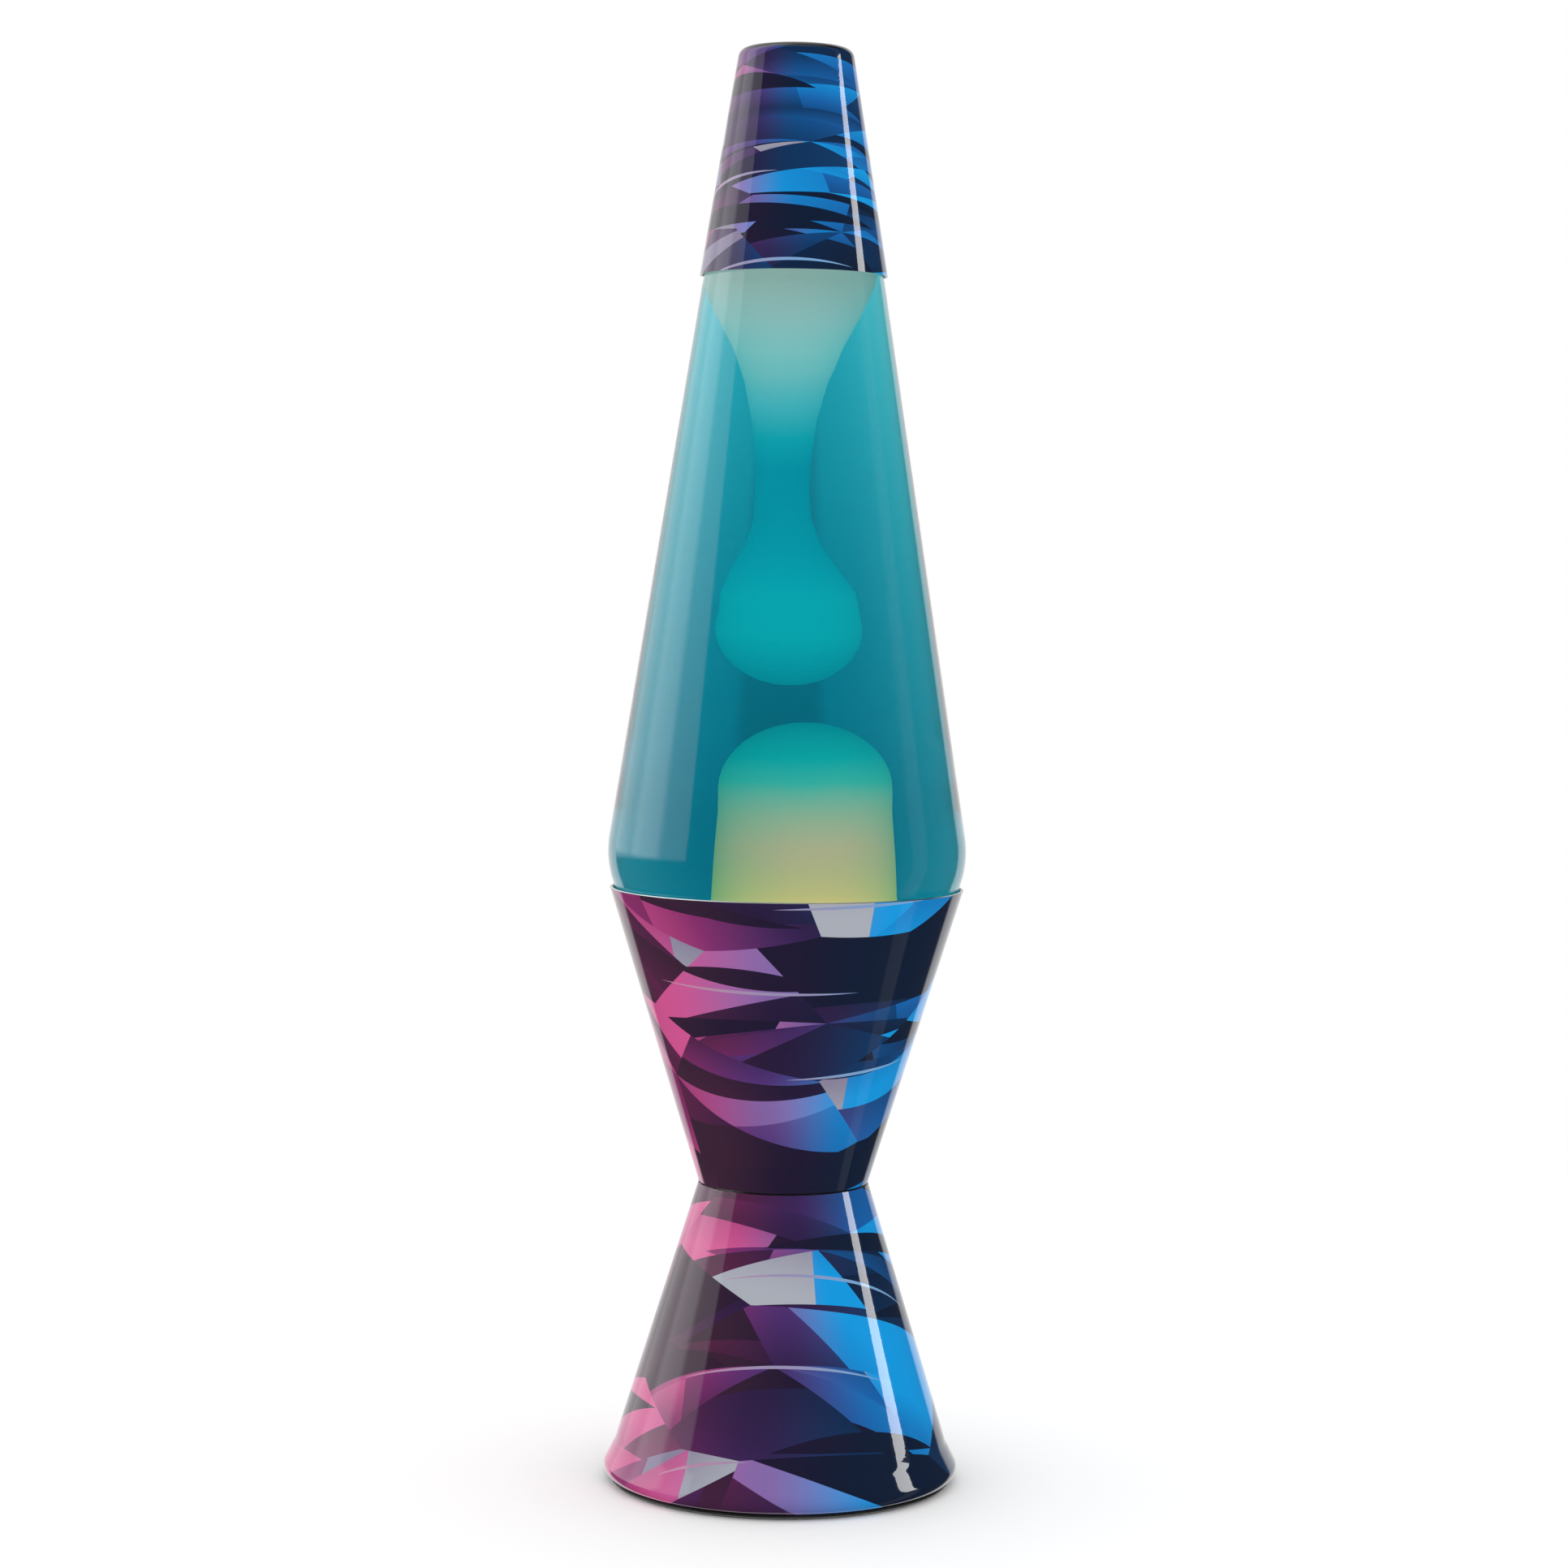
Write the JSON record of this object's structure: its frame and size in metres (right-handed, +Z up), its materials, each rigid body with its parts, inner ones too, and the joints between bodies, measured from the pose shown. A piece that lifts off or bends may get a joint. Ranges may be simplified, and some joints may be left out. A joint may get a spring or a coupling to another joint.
{
  "type": "lava lamp",
  "caption": "Lava lamp: a tapered glass globe of liquid and wax in a printed hourglass base, with a lift-off cap and a screw-in bulb below.",
  "frame": {"origin": "centre of the base's underside, in the plane of the table that the rubber feet stand on", "axes": "+Z up along the lamp's axis, towards the cap; +Y towards the cord entry at the back, so the lamp is seen from -Y"},
  "size_m": [0.0921, 0.0922, 0.368],
  "materials": {
    "spun_aluminium": "satin",
    "printed_film": "gloss",
    "plated_steel": "satin",
    "dark_steel": "satin",
    "black_plastic": "matte",
    "soft_rubber": "matte",
    "phenolic": "satin",
    "brass": "satin",
    "bulb_base_metal": "satin",
    "black_glass": "gloss",
    "solder": "satin",
    "clear_glass": "gloss",
    "bulb_envelope": "gloss",
    "tungsten": "matte",
    "coloured_liquid": "gloss",
    "wax": "satin",
    "liner": "satin",
    "tinplate": "satin"
  },
  "bodies": {
    "base": {"lower_cone": "spun_aluminium", "lower_cone_film": "printed_film", "upper_cone": "spun_aluminium", "upper_cone_film": "printed_film", "waist_eyelet": "plated_steel", "cover_tabs": "plated_steel", "bottom_cover": "black_plastic", "cover_screws": "dark_steel", "rubber_feet": "soft_rubber", "cord_grommet": "soft_rubber", "socket_bracket": "plated_steel", "bracket_screws": "dark_steel", "socket_body": "phenolic", "socket_screws": "dark_steel", "socket_shell": "brass", "centre_contact": "brass", "contact_rivet": "brass", "terminal_screws": "brass"},
    "bulb_slide": {"bulb_contact": "solder"},
    "bulb": {"bulb_insulator": "black_glass", "bulb_shell": "bulb_base_metal", "bulb_glass": "bulb_envelope", "bulb_stem": "clear_glass", "bulb_wires": "plated_steel", "bulb_filament": "tungsten"},
    "globe": {"globe_glass": "clear_glass", "liquid": "coloured_liquid", "heat_coil": "plated_steel", "wax_column": "wax", "wax_hanging": "wax", "bottle_seal": "liner", "crown_cap": "tinplate"},
    "wax_drop": {"wax_drop": "wax"},
    "cap": {"cap": "spun_aluminium", "cap_film": "printed_film"}
  },
  "joints": [
    {"name": "globe_lift", "type": "slide", "parent": "base", "child": "globe", "axis": [0, 0, 1], "range_m": [0, 0.08]},
    {"name": "cap_lift", "type": "slide", "parent": "globe", "child": "cap", "axis": [0, 0, 1], "range_m": [0, 0.07]},
    {"name": "bulb_turn", "type": "hinge", "parent": "bulb_slide", "child": "bulb", "pos_m": [0, 0, 0.06], "axis": [0, 0, 1], "range_deg": [0, 1080]},
    {"name": "bulb_rise", "type": "slide", "parent": "base", "child": "bulb_slide", "axis": [0, 0, 1], "range_m": [0, 0.00847]},
    {"name": "wax_sink", "type": "slide", "parent": "globe", "child": "wax_drop", "axis": [0, 0, -1], "range_m": [0, 0.008], "deforming": ["liquid"]}
  ],
  "couplings": [
    {"joint": "bulb_rise", "follows": "bulb_turn", "m_per_rad": 0.00044913}
  ]
}
